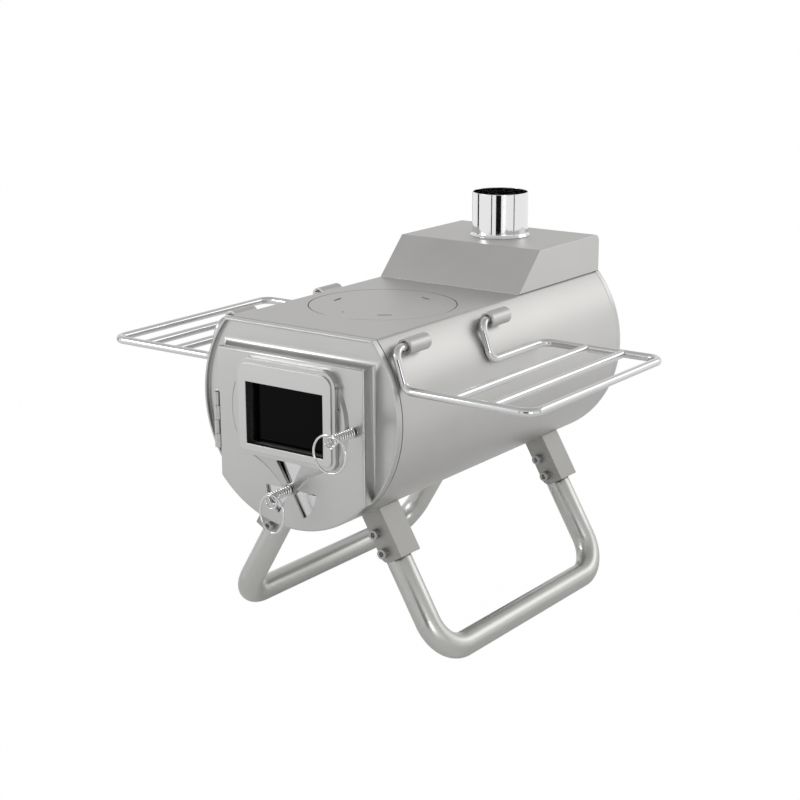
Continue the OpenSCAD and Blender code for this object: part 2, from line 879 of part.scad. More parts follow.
module damper_nut() {
    place() color(steel) difference() {
        front_view(rotor_back, rotor_back + nut_t) translate([0, damper_z]) circle(nut_af / sqrt(3), $fn = 6);
        bar_y(0, damper_z, rotor_back - slack, rotor_back + nut_t + slack, spindle_r + bore_gap);
    }
}

// Share of the ring's size and place that the wire has at past turns into the ring
function ring_share(past) = let (u = max(0, min(1, past / loop_ramp))) u * u * (3 - 2 * u);

// Share of the way from the coil's size to the ring's, where last is the share that the last turn has
function spread(t, close, last) =
    t <= close ? 0 : t <= close + spread_turns ? last * pow((t - close) / spread_turns, spread_power) :
    last + (1 - last) * ring_share(t - close - spread_turns);

// Point of a spring handle after t turns. The tops of all turns are on one line, and the ring is set off it
function spring_point(t, close, last, half_w, half_h, offset) =
    let (s = spread(t, close, last), rx = coil_r + (half_w - coil_r) * s, rz = coil_r + (half_h - coil_r) * s,
        before = close + spread_turns, past = max(0, t - before), off = offset * ring_share(past))
    [rx * sin(360 * t) + off.x, coil_start - coil_pitch * min(t, before) - loop_pitch * past,
        coil_r - rz + rz * cos(360 * t) + off.y];

// Turns at which the tube has a ring of points: fewer in the coil, more in the loop
function spring_turns(close) = let (before = close + spread_turns)
    concat([for (i = [0:curl_rings * before - 1]) i / curl_rings],
        [for (i = [0:loop_rings]) before + i / loop_rings]);

// The wire's middle line, from its root on the spindle's collar to the end of the ring
function spring_points(close, last_h, ring_w, ring_h, offset) =
    let (half_w = ring_w / 2 - wire_r, half_h = ring_h / 2 - wire_r,
        last = (last_h / 2 - wire_r - coil_r) / (half_h - coil_r))
    concat([[0, coil_root, coil_r], [0, coil_root - wire_d / 2, coil_r]],
        [for (t = spring_turns(close)) spring_point(t, close, last, half_w, half_h, offset)]);

latch_wire = spring_points(latch_coil_turns, latch_last_h, latch_ring_w, latch_ring_h,
    [latch_ring_out, latch_ring_up]);
damper_wire = spring_points(damper_coil_turns, damper_last_h, damper_ring_w, damper_ring_h,
    [damper_ring_out, -damper_ring_down]);

// Least gap between any two stretches of the wire that are at least half a turn apart
function spring_gap(p) =
    min([for (i = [0:len(p) - 1]) for (j = [i + 5:1:len(p) - 1]) norm(p[i] - p[j])]) - wire_d;

module spring_tube(p, close) {
    n = len(p);
    run = [for (i = [0:n - 1]) unit(p[min(n - 1, i + 1)] - p[max(0, i - 1)])];
    turn_at = concat([0, 0], spring_turns(close));
    out = [for (i = [0:n - 1]) let (r = [sin(360 * turn_at[i]), 0, cos(360 * turn_at[i])])
        unit(r - run[i] * (r * run[i]))];
    verts = [for (i = [0:n - 1]) for (k = [0:spring_sides - 1])
        let (a = 360 * k / spring_sides) p[i] + wire_r * (cos(a) * out[i] + sin(a) * cross(run[i], out[i]))];
    sides = [for (i = [0:n - 2]) for (k = [0:spring_sides - 1])
        let (k2 = (k + 1) % spring_sides, a = i * spring_sides + k, b = i * spring_sides + k2)
        each [[a, a + spring_sides, b], [b, a + spring_sides, b + spring_sides]]];
    first = [for (k = [0:spring_sides - 1]) k];
    last = [for (k = [spring_sides - 1:-1:0]) (n - 1) * spring_sides + k];
    polyhedron(verts, concat(sides, [first], [last]));
}

module latch_handle() {
    place() color(bright) translate([latch_x, 0, latch_z]) spring_tube(latch_wire, latch_coil_turns);
}

module damper_handle() {
    place() color(bright) translate([0, 0, damper_z]) spring_tube(damper_wire, damper_coil_turns);
}

echo(door_handle_gap = spring_gap(latch_wire));
echo(damper_handle_gap = spring_gap(damper_wire));

// Point seen from the front, counted along the right leg from its upper bolt and across it outward
function leg_point(along, across) = [bolt_x + along * sin(leg_angle) + across * cos(leg_angle),
    bolt_z - along * cos(leg_angle) + across * sin(leg_angle)];

// Bracket as seen from the front, from across v0 out to the web's outer face
module bracket_outline(v0) {
    end = bolt_pitch + bracket_tail;
    r = bracket_corner_r;
    round_part = [for (i = [0:8]) leg_point(end - r + r * sin(i * 90 / 8), v0 + r - r * cos(i * 90 / 8))];
    polygon(concat([leg_point(-bracket_root, v0)], v0 < 0 ? round_part : [leg_point(end, v0)],
        [leg_point(end, web_out), leg_point(-bracket_root, web_out)]));
}

module bracket(y_mid) {
    y0 = y_mid - bracket_w / 2;
    y1 = y_mid + bracket_w / 2;
    difference() {
        union() {
            front_view(y0, y0 + bracket_t) bracket_outline(-bracket_in);
            front_view(y1 - bracket_t, y1) bracket_outline(-bracket_in);
            front_view(y0, y1) bracket_outline(web_in);
        }
        bar_y(0, 0, y0 - slack, y1 + slack, barrel_r + weld_gap);
        for (along = [0, bolt_pitch])
            bar_y(leg_point(along, 0)[0], leg_point(along, 0)[1], y0 - slack, y1 + slack, bolt_hole_r);
    }
}

module bracket_front_right() {
    place() color(steel) bracket(leg_front_y);
}

module bracket_front_left() {
    place() color(steel) on_left() bracket(leg_front_y);
}

module bracket_rear_right() {
    place() color(steel) bracket(leg_rear_y);
}

module bracket_rear_left() {
    place() color(steel) on_left() bracket(leg_rear_y);
}

// Socket head bolt through one bracket
module leg_bolt(along, y_mid) {
    at = leg_point(along, 0);
    y0 = y_mid - bracket_w / 2;
    difference() {
        union() {
            bar_y(at[0], at[1], y0 - bolt_d, y0, bolt_head_r);
            bar_y(at[0], at[1], y0, y_mid + bracket_w / 2 + leg_nut_t + 1, bolt_r);
        }
        translate([0, y0 - bolt_d / 2, 0]) front_view(-bolt_d, 0)
            translate(at) circle(bolt_key / sqrt(3), $fn = 6);
    }
}

module leg_nut(along, y_mid) {
    at = leg_point(along, 0);
    y1 = y_mid + bracket_w / 2;
    difference() {
        front_view(y1, y1 + leg_nut_t) translate(at) circle(leg_nut_af / sqrt(3), $fn = 6);
        bar_y(at[0], at[1], y1 - slack, y1 + leg_nut_t + slack, bolt_r + bore_gap);
    }
}

module leg_bolts() {
    place() color(bright) for (side = [0, 1], y = [leg_front_y, leg_rear_y], along = [0, bolt_pitch])
        mirror([side, 0, 0]) leg_bolt(along, y);
}

module leg_nuts() {
    place() color(steel) for (side = [0, 1], y = [leg_front_y, leg_rear_y], along = [0, bolt_pitch])
        mirror([side, 0, 0]) leg_nut(along, y);
}

// Route of the right leg, its arms reaching past the upper bolts by stub
function leg_route(stub) = let (top = leg_point(-stub, 0)) [
    [top[0], leg_front_y, top[1]], [leg_bar_x, leg_front_y, leg_bar_z],
    [leg_bar_x, leg_rear_y, leg_bar_z], [top[0], leg_rear_y, top[1]]];

module leg() {
    bends = [leg_bend_r, leg_bend_r];
    difference() {
        bent_bar(leg_route(leg_stub), bends, leg_r);
        bent_bar(leg_route(leg_stub + slack), bends, leg_r - leg_wall);
        for (y = [leg_front_y, leg_rear_y], along = [0, bolt_pitch])
            bar_y(leg_point(along, 0)[0], leg_point(along, 0)[1], y - leg_d, y + leg_d, bolt_hole_r);
    }
}

module leg_right() {
    place() color(bright) leg();
}

module leg_left() {
    place() color(bright) on_left() leg();
}

// Sleeve and its saddle seen from the front, with a bore
module sleeve_outline(bore_r) {
    saddle_start = barrel_r - saddle_sink;
    difference() {
        union() {
            translate([sleeve_x, sleeve_z]) circle(sleeve_d / 2);
            rotate(sleeve_angle) translate([saddle_start, -saddle_w / 2])
                square([sleeve_radius - saddle_start, saddle_w]);
        }
        circle(barrel_r + weld_gap);
        translate([sleeve_x, sleeve_z]) circle(bore_r);
    }
}

// Sleeve with a wider mouth at the front for the wire
module sleeve(y0) {
    mouth_end = y0 + sleeve_mouth_len;
    front_view(y0, mouth_end) sleeve_outline(sleeve_mouth_r);
    front_view(mouth_end, y0 + sleeve_len) sleeve_outline(rack_r + rack_clearance);
}

module sleeve_front_right() {
    place() color(steel) sleeve(sleeve_front_y);
}

module sleeve_front_left() {
    place() color(steel) on_left() sleeve(sleeve_front_y);
}

module sleeve_rear_right() {
    place() color(steel) sleeve(sleeve_rear_y);
}

module sleeve_rear_left() {
    place() color(steel) on_left() sleeve(sleeve_rear_y);
}

// One bent wire: prong, drop, front arm, outer bar, rear arm, inner bar, rise, prong
module rack_frame() {
    route = [
        [sleeve_x, sleeve_front_y + sleeve_len + prong_past, sleeve_z],
        [sleeve_x, rack_front_y, sleeve_z],
        [rack_in_x, rack_front_y, rack_z],
        [rack_out_x, rack_front_y, rack_z],
        [rack_out_x, rack_rear_y, rack_z],
        [rack_in_x, rack_rear_y, rack_z],
        [rack_in_x, rack_hook_y, rack_z],
        [sleeve_x, rack_hook_y, sleeve_z],
        [sleeve_x, sleeve_rear_y + sleeve_len + prong_past, sleeve_z]];
    bends = [rack_hook_r, rack_hook_r, rack_corner_r, rack_corner_r, rack_corner_r, rack_hook_r, rack_hook_r];
    bent_bar(route, bends, rack_r);
}

// Rails between the front and rear arms, butted on both
module rack_rails() {
    difference() {
        for (share = rail_places)
            bar_y(rack_in_x + share * rack_w, rack_z, rack_front_y, rack_rear_y, rack_r);
        for (y = [rack_front_y, rack_rear_y])
            bar_x(rack_in_x, rack_out_x, y, rack_z, rack_r + bore_gap);
    }
}

module rack_right_frame() {
    place() color(bright) rack_frame();
}

module rack_right_rails() {
    place() color(bright) rack_rails();
}

module rack_left_frame() {
    place() color(bright) on_left() rack_frame();
}

module rack_left_rails() {
    place() color(bright) on_left() rack_rails();
}

// Slotted plate on two folded feet inside the barrel
module fire_grate() {
    slot_len = grate_len / grate_slots - grate_bar;
    foot_out = grate_foot_x + grate_t;
    foot_bottom = -sqrt(pow(barrel_r - sheet_t - seat_gap, 2) - foot_out * foot_out);
    place() color(dark) translate([0, grate_front_y, 0]) {
        translate([0, 0, grate_z]) linear_extrude(grate_t) difference() {
            translate([-grate_w / 2, 0]) square([grate_w, grate_len]);
            for (i = [0:grate_slots - 1], j = [0:grate_rows - 1])
                translate([(j - (grate_rows - 1) / 2) * grate_row_step - grate_slot_w / 2,
                    grate_bar / 2 + i * grate_len / grate_slots]) square([grate_slot_w, slot_len]);
        }
        for (side = [0, 1])
            mirror([side, 0, 0]) translate([grate_foot_x, 0, foot_bottom])
                cube([grate_t, grate_len, grate_z - foot_bottom]);
    }
}

barrel_shell();
front_cap();
rear_cap();
lid_seat();
cooking_lid();
lid_skirt();
smoke_box();
flue_collar();
door_housing();
housing_flange();
hinge_knuckles_fixed();
hinge_pin();
door_panel();
hinge_knuckles_door();
air_hood();
window_channel();
window_frame();
window_gasket();
window_glass();
glass_clips();
frame_screws();
latch_spindle();
latch_tongue();
latch_handle();
damper_rotor();
damper_spindle();
damper_nut();
damper_handle();
bracket_front_right();
bracket_front_left();
bracket_rear_right();
bracket_rear_left();
leg_bolts();
leg_nuts();
leg_right();
leg_left();
sleeve_front_right();
sleeve_front_left();
sleeve_rear_right();
sleeve_rear_left();
rack_right_frame();
rack_right_rails();
rack_left_frame();
rack_left_rails();
fire_grate();
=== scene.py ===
"""Finish of a tent wood stove: stainless steel surfaces, spring handles and glass around its solids."""

import json
import math

import bmesh
import bpy
from mathutils import Matrix, Vector


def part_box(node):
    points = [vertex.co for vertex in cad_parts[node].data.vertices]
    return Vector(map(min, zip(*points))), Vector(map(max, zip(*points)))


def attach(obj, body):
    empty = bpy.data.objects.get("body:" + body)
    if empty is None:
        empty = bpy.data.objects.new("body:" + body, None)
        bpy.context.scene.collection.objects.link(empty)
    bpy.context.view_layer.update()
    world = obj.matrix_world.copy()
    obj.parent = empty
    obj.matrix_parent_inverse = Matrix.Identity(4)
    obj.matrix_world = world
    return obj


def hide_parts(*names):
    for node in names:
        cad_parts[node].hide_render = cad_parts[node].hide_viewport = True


bl_info = {
    "name": "Tent Stove Finish",
    "version": (1, 0, 0),
    "blender": (4, 5, 0),
    "location": "3D View > Sidebar > Stove",
    "description": "Dresses a tent wood stove in blasted, brushed and polished stainless steel",
    "category": "Object",
}

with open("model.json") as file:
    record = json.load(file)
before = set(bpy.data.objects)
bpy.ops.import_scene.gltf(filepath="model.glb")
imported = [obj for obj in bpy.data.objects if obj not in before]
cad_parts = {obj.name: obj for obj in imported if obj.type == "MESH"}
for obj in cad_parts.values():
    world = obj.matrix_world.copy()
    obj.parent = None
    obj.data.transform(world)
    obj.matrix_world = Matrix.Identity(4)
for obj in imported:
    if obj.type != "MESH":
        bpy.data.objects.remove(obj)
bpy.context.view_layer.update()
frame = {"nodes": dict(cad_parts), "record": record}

MM = 0.001
# Points of the same corner lie closer than this, in metres
WELD = 2e-6
# Faces that lean less than this to each other are one flat face
FLAT_ANGLE = math.radians(0.4)
# Edges that turn more than this are sheet edges, and are rounded
EDGE_ANGLE = math.radians(32)
# Edges that turn more than this are shaded sharp
SMOOTH_ANGLE = math.radians(48)

# An edge within these distances of a side of its piece's box lies in that side
ON_SIDE = 0.1 * MM
NEAR_SIDE = 0.2 * MM

# Height of the barrel's axis over the ground
AXIS_Z = 250 * MM
# The cooking face's long edges lie further than this from the middle
FLAT_EDGE_X = 80 * MM
# Segments of the full circle that the door's outline is cut from
OUTLINE_SEGMENTS = 240
# Steps between the corners of a wire's round section
WIRE_STEPS = 3
# Radius between a rack sleeve's bore and its outside
SLEEVE_MID_R = 6 * MM
# Most values of a noise pattern lie between these
PATTERN_LOW, PATTERN_HIGH = 0.3, 0.7

NODE_BODY = {node: body for body, nodes in frame["record"]["behaviour"]["bodies"].items() for node in nodes}


def linear(hex_colour):
    """The linear colour of an sRGB hex value, with an alpha of 1."""
    parts = [int(hex_colour[i:i + 2], 16) / 255 for i in (1, 3, 5)]
    return tuple(c / 12.92 if c <= 0.04045 else ((c + 0.055) / 1.055) ** 2.4 for c in parts) + (1.0,)


def size(text, default, description):
    """A length property in metres, written in millimetres."""
    return bpy.props.FloatProperty(name=text, description=description, default=default * MM, unit="LENGTH")


def count(text, default, description):
    """A property that counts."""
    return bpy.props.IntProperty(name=text, description=description, default=default)


def factor(text, default, description):
    """A property without a unit."""
    return bpy.props.FloatProperty(name=text, description=description, default=default)


def colour(text, default, description):
    """A colour property with an sRGB hex default."""
    return bpy.props.FloatVectorProperty(
        name=text, description=description, default=linear(default), size=4, subtype="COLOR", min=0, max=1)


class StoveSizes(bpy.types.PropertyGroup):
    """Sizes of the finish."""

    sheet_edge: size("Sheet edge", 0.5, "Radius of the rounded edges of cut sheet")
    plate_edge: size("Plate edge", 0.8, "Radius of the edges of the two end plates")
    housing_edge: size("Housing edge", 0.4, "Radius of the edges of the door housing")
    spindle_edge: size("Spindle edge", 0.3, "Radius of the edges of latch and damper")
    window_edge: size("Window edge", 0.25, "Radius of the edges of glass, channel, clips and screws")
    fold: size("Fold", 1.8, "Radius of the folds of the barrel's flat and of the smoke box")
    door_roll: size("Door edge", 2.0, "Radius of the roll at the door's front edge")
    plate_fillet: size("Plate fillet", 6.0, "Radius of the drawn curve between front plate and door housing")
    housing_corner: size("Housing corner", 2.5, "Radius of the housing's upper corners")
    sleeve_end: size("Sleeve end", 2.4, "Radius at the rear end of the rack sleeves")
    collar_rim: size("Collar rim", 0.45, "Radius of the collar's rolled top edge")
    wire: size("Spring wire", 2.2, "Diameter of the spring handles' wire")
    coil: size("Coil radius", 3.7, "Mean radius of the springs' close coil")
    pitch: size("Coil pitch", 3.3, "Step from one turn of a spring to the next")
    loop_rise: size("Loop rise", 3.2, "How far the ring of a spring handle runs forward")
    door_last_h: size("Door last turn", 14.0, "Height of the last turn before the door handle's ring")
    damper_last_h: size("Damper last turn", 19.0, "Height of the last turn before the damper handle's ring")
    door_ring_w: size("Door ring width", 37.0, "Width of the door handle's ring")
    door_ring_h: size("Door ring height", 38.0, "Height of the door handle's ring")
    damper_ring_w: size("Damper ring width", 29.0, "Width of the damper handle's ring")
    damper_ring_h: size("Damper ring height", 39.0, "Height of the damper handle's ring")
    door_ring_out: size("Door ring aside", 1.5, "How far the door handle's ring is set to the right")
    door_ring_up: size("Door ring up", 3.0, "How far the door handle's ring is set above its coil's top line")
    damper_ring_out: size("Damper ring aside", 3.0, "How far the damper handle's ring is set to the right")
    damper_ring_up: size("Damper ring up", -0.5, "How far the damper handle's ring is set above the top line")
    door_turns: count("Door coil", 7, "Close turns of the door handle")
    damper_turns: count("Damper coil", 5, "Close turns of the damper handle")
    spread_turns: count("Spread turns", 3, "Turns that widen")
    loop_ramp: factor("Ring ramp", 0.12, "Share of a turn in which the last turn opens into the ring")
    spread_power: factor("Spread curve", 1.2, "How late the widening turns grow")


class StoveColours(bpy.types.PropertyGroup):
    """Colours of the finish."""

    blasted: colour("Blasted steel", "#cbcac8", "Barrel, smoke box, lid and rack sleeves")
    brushed: colour("Brushed steel", "#c5c5c4", "End plates, door housing, door and hinge")
    satin: colour("Satin steel", "#cbcbca", "Window frame")
    hood: colour("Drawn steel", "#c4c4c3", "Air hood")
    # The brackets' darker grey is painted shade, for the shade they lie in under the barrel.
    bracket: colour("Tumbled steel", "#a6a5a2", "Leg brackets")
    polished: colour("Polished steel", "#e9e9e9", "Flue collar")
    wire: colour("Polished wire", "#dcdcdc", "Racks, spring handles and damper")
    tube: colour("Leg tube", "#c9c9c6", "Legs")
    bolt: colour("Bolts", "#b0b0b0", "Bolts, screws, pins and spindles")
    # The glass's black is painted shade, for the dark firebox behind the glass.
    glass: colour("Window glass", "#050505", "Smoked ceramic glass")
    rope: colour("Rope seal", "#1c1c1b", "Seal round the window")
    grate: colour("Grate steel", "#6f6c68", "Fire grate")
    floor: colour("Floor", "#f4f4f4", "Studio floor")


def sizes():
    return bpy.context.scene.stove_sizes


def colours():
    return bpy.context.scene.stove_colours


# Materials


def add(tree, kind, settings=(), values=(), links=()):
    """Adds a node with its settings, its socket values and the sockets that feed it."""
    made = tree.nodes.new("ShaderNode" + kind)
    for key, value in dict(settings).items():
        setattr(made, key, value)
    for key, value in dict(values).items():
        made.inputs[key].default_value = value
    for key, socket in dict(links).items():
        tree.links.new(socket, made.inputs[key])
    return made


def start(name):
    """An empty material with its Principled shader and output."""
    material = bpy.data.materials.new(name)
    material.use_nodes = True
    tree = material.node_tree
    tree.nodes.clear()
    shader = add(tree, "BsdfPrincipled")
    add(tree, "OutputMaterial", links={"Surface": shader.outputs["BSDF"]})
    return material, tree, shader


def spread(tree, pattern, low, high):
    """A socket that runs from low to high with the pattern."""
    return add(tree, "MapRange", values={"From Min": PATTERN_LOW, "From Max": PATTERN_HIGH,
                                         "To Min": low, "To Max": high},
               links={"Value": pattern}).outputs["Result"]


def steel(name, tone, roughness, grain, bump, vary, shade, cloud=60.0):
    """Stainless steel. grain is the size of the finish's grain along X, Y and Z, bump its depth and cloud the
    size of its wide spots, all in millimetres. vary is how far the roughness changes, shade the share by
    which the tone changes."""
    material, tree, shader = start(name)
    place = add(tree, "TexCoord").outputs["Object"]
    stretched = add(tree, "Mapping", values={"Scale": [1 / (g * MM) for g in grain]}, links={"Vector": place})
    fine = add(tree, "TexNoise", values={"Scale": 1.0, "Detail": 3.0, "Roughness": 0.6},
               links={"Vector": stretched.outputs["Vector"]}).outputs["Fac"]
    wide = add(tree, "TexNoise", values={"Scale": 1 / (cloud * MM), "Detail": 4.0, "Roughness": 0.55},
               links={"Vector": place}).outputs["Fac"]
    both = add(tree, "Math", {"operation": "ADD"}, links={0: spread(tree, fine, -vary / 2, vary / 2),
                                                        1: spread(tree, wide, -vary / 2, vary / 2)})
    rough = add(tree, "Math", {"operation": "ADD"}, {1: roughness}, {0: both.outputs[0]}).outputs[0]
    light = [c * (1 + shade) for c in tone[:3]] + [1.0]
    dark = [c * (1 - shade) for c in tone[:3]] + [1.0]
    toned = add(tree, "Mix", {"data_type": "RGBA"}, {6: dark, 7: light}, {0: spread(tree, wide, 0.0, 1.0)})
    relief = add(tree, "Bump", values={"Strength": 1.0, "Distance": bump * MM}, links={"Height": fine})
    tree.links.new(toned.outputs[2], shader.inputs["Base Color"])
    tree.links.new(rough, shader.inputs["Roughness"])
    tree.links.new(relief.outputs["Normal"], shader.inputs["Normal"])
    shader.inputs["Metallic"].default_value = 1.0
    return material


def bead_blasted_stainless():
    """Stainless sheet blasted with glass beads: an even, fine, silky grey with no direction."""
    return steel("bead_blasted_stainless", colours().blasted, roughness=0.43, grain=(0.55, 0.55, 0.55),
                 bump=0.006, vary=0.05, shade=0.025)


def brushed_stainless():
    """Stainless sheet with a fine brushed grain along X, which draws highlights out up and down."""
    return steel("brushed_stainless", colours().brushed, roughness=0.34, grain=(14.0, 0.5, 0.35),
                 bump=0.004, vary=0.06, shade=0.03)


def satin_stainless():
    """Stainless pressing with a fine satin grain, brighter than the sheet behind it."""
    return steel("satin_stainless", colours().satin, roughness=0.32, grain=(9.0, 0.5, 0.35),
                 bump=0.003, vary=0.05, shade=0.02)


def drawn_stainless():
    """Deep drawn stainless: the brushed sheet, a little smoother from the press."""
    return steel("drawn_stainless", colours().hood, roughness=0.3, grain=(3.0, 0.6, 0.5),
                 bump=0.004, vary=0.05, shade=0.03, cloud=25.0)


def bracket_stainless_painted_shade():
    """Thick folded stainless, dull, painted a darker grey than the sheets: painted shade for the shade the
    brackets lie in under the barrel.
    """
    return steel("bracket_stainless_painted_shade", colours().bracket, roughness=0.46, grain=(0.7, 0.7, 0.7),
                 bump=0.014, vary=0.06, shade=0.04)


def mirror_polished_stainless():
    """Turned and mirror polished stainless tube, with faint turning lines round its axis."""
    return steel("mirror_polished_stainless", colours().polished, roughness=0.07, grain=(40.0, 40.0, 0.3),
                 bump=0.0006, vary=0.03, shade=0.01)


def polished_wire():
    """Drawn stainless, polished: bright lines along a wire between dark ones, a bright flash on the damper."""
    return steel("polished_wire", colours().wire, roughness=0.13, grain=(1.2, 1.2, 1.2),
                 bump=0.003, vary=0.05, shade=0.02)


def satin_tube():
    """Stainless tube with a satin polish along its length."""
    return steel("satin_tube", colours().tube, roughness=0.31, grain=(0.8, 0.8, 5.0),
                 bump=0.008, vary=0.06, shade=0.03)


def bright_bolt_steel():
    """Cold headed stainless fasteners, bright and smooth."""
    return steel("bright_bolt_steel", colours().bolt, roughness=0.22, grain=(0.8, 0.8, 0.8),
                 bump=0.006, vary=0.05, shade=0.03)


def mill_finish_steel():
    """Rolled steel that has seen fire: dull and brownish grey."""
    return steel("mill_finish_steel", colours().grate, roughness=0.55, grain=(1.5, 1.5, 1.5),
                 bump=0.04, vary=0.1, shade=0.15, cloud=20.0)


def ceramic_glass_painted_shade():
    """Heat proof ceramic glass, smooth and hardly reflecting, painted black: painted shade for the dark, unlit
    firebox behind it.
    """
    material, tree, shader = start("ceramic_glass_painted_shade")
    place = add(tree, "TexCoord").outputs["Object"]
    haze = add(tree, "TexNoise", values={"Scale": 1 / (30 * MM), "Detail": 3.0}, links={"Vector": place})
    tree.links.new(spread(tree, haze.outputs["Fac"], 0.06, 0.12), shader.inputs["Roughness"])
    shader.inputs["Base Color"].default_value = colours().glass
    shader.inputs["Specular IOR Level"].default_value = 0.05
    return material


def woven_rope():
    """Glass fibre rope, black and matt. A scale of 1 repeats every 0.63 units along an axis, so its braid is
    drawn 5.7 mm apart, coarser than the real one's, so that it shows."""
    material, tree, shader = start("woven_rope")
    place = add(tree, "TexCoord").outputs["Object"]
    braid = add(tree, "TexWave", {"bands_direction": "DIAGONAL"},
                {"Scale": 1 / (9.0 * MM), "Distortion": 2.0}, {"Vector": place})
    relief = add(tree, "Bump", values={"Strength": 1.0, "Distance": 0.3 * MM},
                 links={"Height": braid.outputs["Fac"]})
    tree.links.new(relief.outputs["Normal"], shader.inputs["Normal"])
    shader.inputs["Base Color"].default_value = colours().rope
    shader.inputs["Roughness"].default_value = 0.9
    return material


FINISHES = {
    "blasted_steel": bead_blasted_stainless,
    "brushed_steel": brushed_stainless,
    "satin_steel": satin_stainless,
    "hood_steel": drawn_stainless,
    "bracket_steel": bracket_stainless_painted_shade,
    "polished_collar": mirror_polished_stainless,
    "polished_wire": polished_wire,
    "leg_tube_steel": satin_tube,
    "bolt_steel": bright_bolt_steel,
    "window_glass": ceramic_glass_painted_shade,
    "rope_seal": woven_rope,
    "grate_steel": mill_finish_steel,
}
MADE = {}


def finish_of(slot):
    """The material of a slot, made once."""
    if slot not in MADE:
        MADE[slot] = FINISHES[slot]()
    return MADE[slot]


# Meshes


def slot_of(node):
    """The record's material slot of a node."""
    return next(s["material_slot"] for s in frame["record"]["subparts"] if s["node"] == node)


def joint_place(body):
    """Where the axis of the body's joint lies, in metres."""
    joints = frame["record"]["behaviour"]["joints"]
    return Vector(next(joint["pos_m"] for joint in joints if joint["child"] == body))


def merged(node):
    """The node's own shape as a clean mesh: its loose triangles merged, its flat faces joined."""
    bm = bmesh.new()
    bm.from_mesh(frame["nodes"][node].data)
    bmesh.ops.remove_doubles(bm, verts=bm.verts, dist=WELD)
    bmesh.ops.dissolve_limit(bm, angle_limit=FLAT_ANGLE, verts=bm.verts, edges=bm.edges)
    return bm


def sharp_edges(bm, keep=None):
    """The edges between two faces that turn sharply, all of them or those that keep allows."""
    return [e for e in bm.edges
            if len(e.link_faces) == 2 and e.calc_face_angle(0.0) > EDGE_ANGLE and (keep is None or keep(e))]


def rounded(bm, radius, segments=2, keep=None):
    """Rounds the sharp edges to a radius in metres."""
    bmesh.ops.bevel(bm, geom=sharp_edges(bm, keep), offset=radius, offset_type="OFFSET", segments=segments,
                    profile=0.5, affect="EDGES", clamp_overlap=True, material=-1)


def piece(bm, name, body, slot, replaced=()):
    """Makes the mesh a piece of the stove: the finish of its slot, hung on its body, with the nodes it stands
    for hidden.
    """
    mesh = bpy.data.meshes.new(name)
    bm.to_mesh(mesh)
    bm.free()
    for polygon in mesh.polygons:
        polygon.use_smooth = True
    mesh.set_sharp_from_angle(angle=SMOOTH_ANGLE)
    made = bpy.data.objects.new(name, mesh)
    bpy.context.scene.collection.objects.link(made)
    made.data.materials.append(finish_of(slot))
    even = made.modifiers.new("even_shading", "WEIGHTED_NORMAL")
    even.keep_sharp = True
    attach(made, body)
    if replaced:
        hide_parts(*replaced)


def dress(node, radius, segments=2, keep=None):
    """Stands a rounded copy in the node's place."""
    bm = merged(node)
    if radius:
        rounded(bm, radius, segments, keep)
    piece(bm, node + "_finished", NODE_BODY[node], slot_of(node), [node])


def repaint(node):
    """Gives the node itself its better material."""
    for held in frame["nodes"][node].material_slots:
        held.material = finish_of(slot_of(node))


def door_outline(grow, y):
    """The door's outline, grown, as one face that looks forward: a disc cut straight at the sides and top."""
    low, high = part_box("door_panel")
    radius = AXIS_Z - low.z + grow
    bm = bmesh.new()
    bmesh.ops.create_circle(bm, cap_ends=True, radius=radius, segments=OUTLINE_SEGMENTS)
    bmesh.ops.rotate(bm, cent=(0, 0, 0), matrix=Matrix.Rotation(math.radians(90), 3, "X"), verts=bm.verts)
    for normal, distance in ((Vector((1, 0, 0)), high.x + grow), (Vector((-1, 0, 0)), high.x + grow),
                             (Vector((0, 0, 1)), high.z - AXIS_Z + grow)):
        everything = bm.verts[:] + bm.edges[:] + bm.faces[:]
        bmesh.ops.bisect_plane(bm, geom=everything, plane_co=normal * distance, plane_no=normal,
                               clear_outer=True)
    bmesh.ops.translate(bm, vec=(0, y, AXIS_Z), verts=bm.verts)
    bm.faces.ensure_lookup_table()
    if bm.faces[0].normal.y > 0:
        bmesh.ops.reverse_faces(bm, faces=bm.faces)
    return bm


def stepped_inset(bm, face, steps):
    """Draws a face in and forward in steps of (inset, rise), which leaves a curved band round it."""
    for inset, rise in steps:
        bmesh.ops.inset_region(bm, faces=[face], thickness=inset, depth=rise, use_even_offset=True,
                               use_boundary=True)


def hollow_steps(radius, segments):
    """Steps of (inset, rise) along a quarter of a hollow circle."""
    angles = [math.pi / 2 * i / segments for i in range(segments + 1)]
    return [(radius * (math.sin(b) - math.sin(a)), radius * (math.cos(a) - math.cos(b)))
            for a, b in zip(angles, angles[1:])]


def wire_mesh(name, points, radius):
    """A round wire through the points, as a bmesh."""
    curve = bpy.data.curves.new(name, "CURVE")
    curve.dimensions = "3D"
    curve.bevel_depth = radius
    curve.bevel_resolution = WIRE_STEPS
    curve.use_fill_caps = True
    spline = curve.splines.new("POLY")
    spline.points.add(len(points) - 1)
    for point, co in zip(spline.points, points):
        point.co = (*co, 1.0)
    carrier = bpy.data.objects.new(name, curve)
    bpy.context.scene.collection.objects.link(carrier)
    bpy.context.view_layer.update()
    bm = bmesh.new()
    bm.from_mesh(carrier.to_mesh())
    bpy.data.objects.remove(carrier)
    bmesh.ops.remove_doubles(bm, verts=bm.verts, dist=WELD)
    return bm


# Operators


class STOVE_OT_barrel(bpy.types.Operator):
    """Barrel with its soft folds beside the cooking face, and the two end plates"""

    bl_idname = "stove.barrel"
    bl_label = "Barrel and End Plates"

    def execute(self, context):
        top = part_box("barrel_shell")[1].z

        def fold(edge):
            return all(v.co.z > top - NEAR_SIDE and abs(v.co.x) > FLAT_EDGE_X for v in edge.verts)

        dress("barrel_shell", sizes().fold, 3, fold)
        for node in ("front_cap", "rear_cap"):
            dress(node, sizes().plate_edge, 3)
        return {"FINISHED"}


